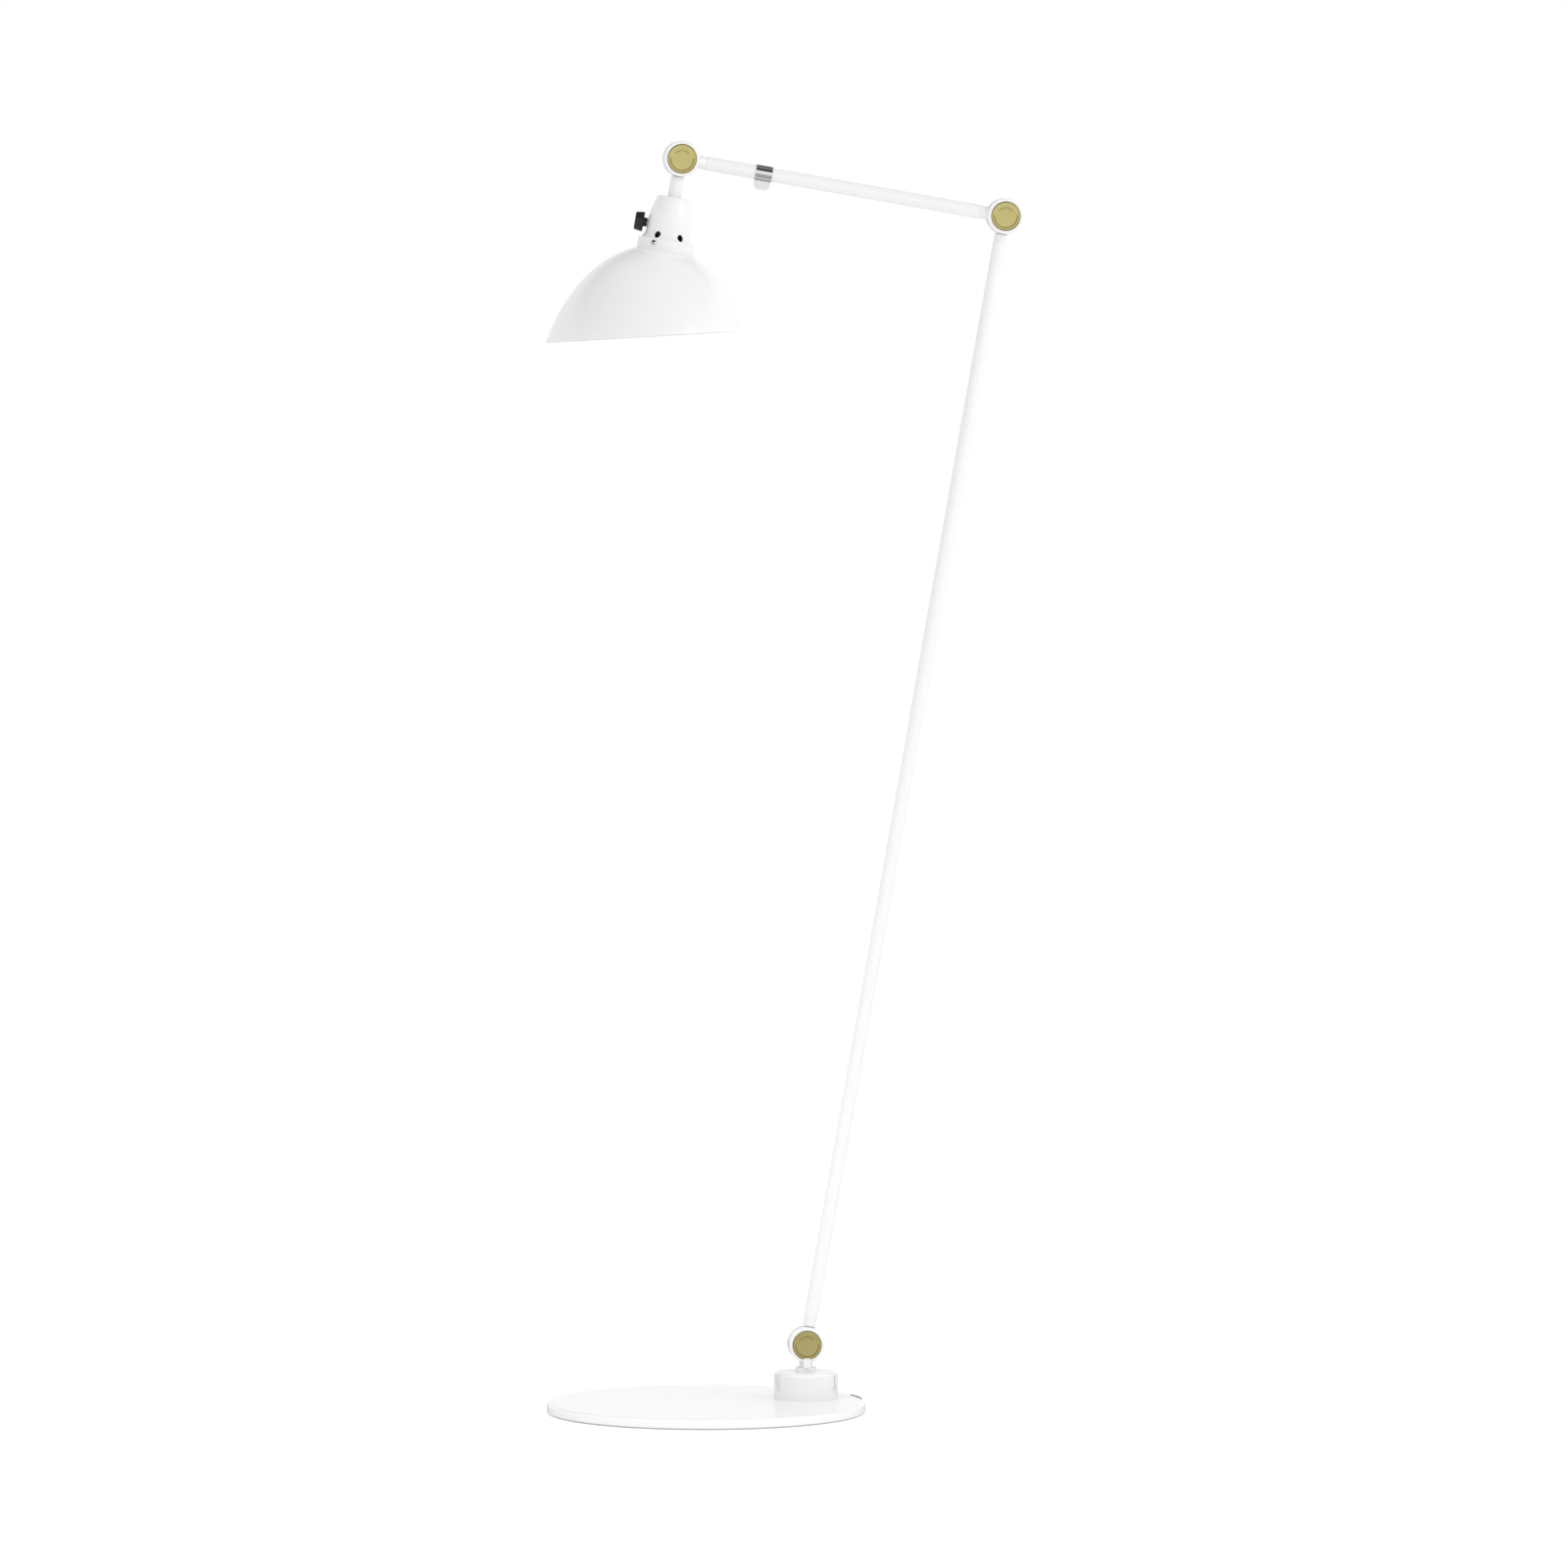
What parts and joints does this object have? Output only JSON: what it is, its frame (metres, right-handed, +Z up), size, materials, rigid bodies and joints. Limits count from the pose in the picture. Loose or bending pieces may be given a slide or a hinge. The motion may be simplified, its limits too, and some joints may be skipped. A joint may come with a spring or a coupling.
{
  "type": "floor lamp",
  "caption": "Adjustable floor lamp: jointed arm on a round weighted base, with a tilting, turning dome shade cut at a slant and a rotary switch.",
  "frame": {"origin": "centre of the round base, on the underside of its pad, where the lamp meets the floor", "axes": "+Z up; the arms move in the plane y = 0.0198 m; the base joint's fork stands off centre towards +X, the upper arm and head reach back towards -X, and the brass joint caps face -Y, the front"},
  "size_m": [0.4176, 0.278, 1.1067],
  "materials": {
    "white_paint": "gloss white powder coat",
    "brass": "turned and satin lacquered",
    "contact_brass": "plain",
    "steel": "zinc plated",
    "chrome": "polished",
    "black_plastic": "fine moulded black",
    "nylon": "natural white",
    "rubber": "matte black",
    "pad": "white non-slip",
    "cable": "flexible lead",
    "lining": "pressed fibre",
    "bulb_glass": "opal"
  },
  "bodies": {
    "base": {"base_plate": "white_paint", "base_pad": "pad", "cable_gland": "rubber", "base_lead": "cable", "hub_cup": "white_paint", "hub_screws": "steel", "swivel_bush": "nylon", "stop_pin": "steel"},
    "turret": {"swivel_fork": "white_paint", "stop_washer": "steel", "swivel_spring": "steel", "swivel_nut": "steel", "base_joint_pivot_bolt": "steel", "base_joint_disc_spring": "steel", "base_joint_pivot_nut": "steel", "base_joint_friction_discs": "lining", "base_joint_brass_cap": "brass", "base_joint_rear_cap": "white_paint"},
    "lower_arm": {"lower_arm_tube": "white_paint", "lower_arm_base_eye": "white_paint", "lower_arm_elbow_eye": "white_paint", "lower_arm_grub_screws": "steel", "lower_arm_lead": "cable"},
    "upper_arm": {"upper_arm_tube": "white_paint", "upper_arm_elbow_fork": "white_paint", "upper_arm_head_fork": "white_paint", "upper_arm_grub_screws": "steel", "upper_arm_lead": "cable", "arm_clip": "chrome", "elbow_pivot_bolt": "steel", "elbow_disc_spring": "steel", "elbow_pivot_nut": "steel", "elbow_friction_discs": "lining", "elbow_brass_cap": "brass", "elbow_rear_cap": "white_paint", "head_joint_pivot_bolt": "steel", "head_joint_disc_spring": "steel", "head_joint_pivot_nut": "steel", "head_joint_friction_discs": "lining", "head_joint_brass_cap": "brass", "head_joint_rear_cap": "white_paint"},
    "neck": {"neck_eye": "white_paint", "neck_washer": "steel", "neck_spring": "steel", "neck_nut": "steel"},
    "head": {"socket_cover": "white_paint", "mounting_plate": "steel", "switch_body": "black_plastic", "lampholder": "black_plastic", "socket_shell": "chrome", "centre_contact": "contact_brass", "shade_collar": "white_paint", "collar_screws": "chrome", "shade_ring": "black_plastic", "shade": "white_paint", "bulb_cap": "chrome", "bulb_glass": "bulb_glass"},
    "switch": {"switch_knob": "black_plastic", "switch_spindle": "steel"}
  },
  "joints": [
    {"name": "hub_swivel", "type": "hinge", "parent": "base", "child": "turret", "pos_m": [0.08933, 0.0198, 0.0565], "axis": [0, 0, 1], "range_deg": [-162, 162]},
    {"name": "base_tilt", "type": "hinge", "parent": "turret", "child": "lower_arm", "pos_m": [0.08933, 0.0198, 0.0565], "axis": [0, 1, 0], "range_deg": [-50, 30]},
    {"name": "elbow", "type": "hinge", "parent": "lower_arm", "child": "upper_arm", "pos_m": [0.26298, 0.0198, 1.04131], "axis": [0, 1, 0], "range_deg": [-40, 90]},
    {"name": "head_tilt", "type": "hinge", "parent": "upper_arm", "child": "neck", "pos_m": [-0.01966, 0.0198, 1.09115], "axis": [0, 1, 0], "range_deg": [-40, 120]},
    {"name": "head_turn", "type": "hinge", "parent": "neck", "child": "head", "pos_m": [-0.01966, 0.0198, 1.09115], "axis": [-0.1736, 0, -0.9848], "range_deg": [-160, 160]},
    {"name": "switch_turn", "type": "hinge", "parent": "head", "child": "switch", "pos_m": [-0.02998, 0.0198, 1.03265], "axis": [-0.9794, 0.1045, 0.1727], "continuous": true}
  ]
}
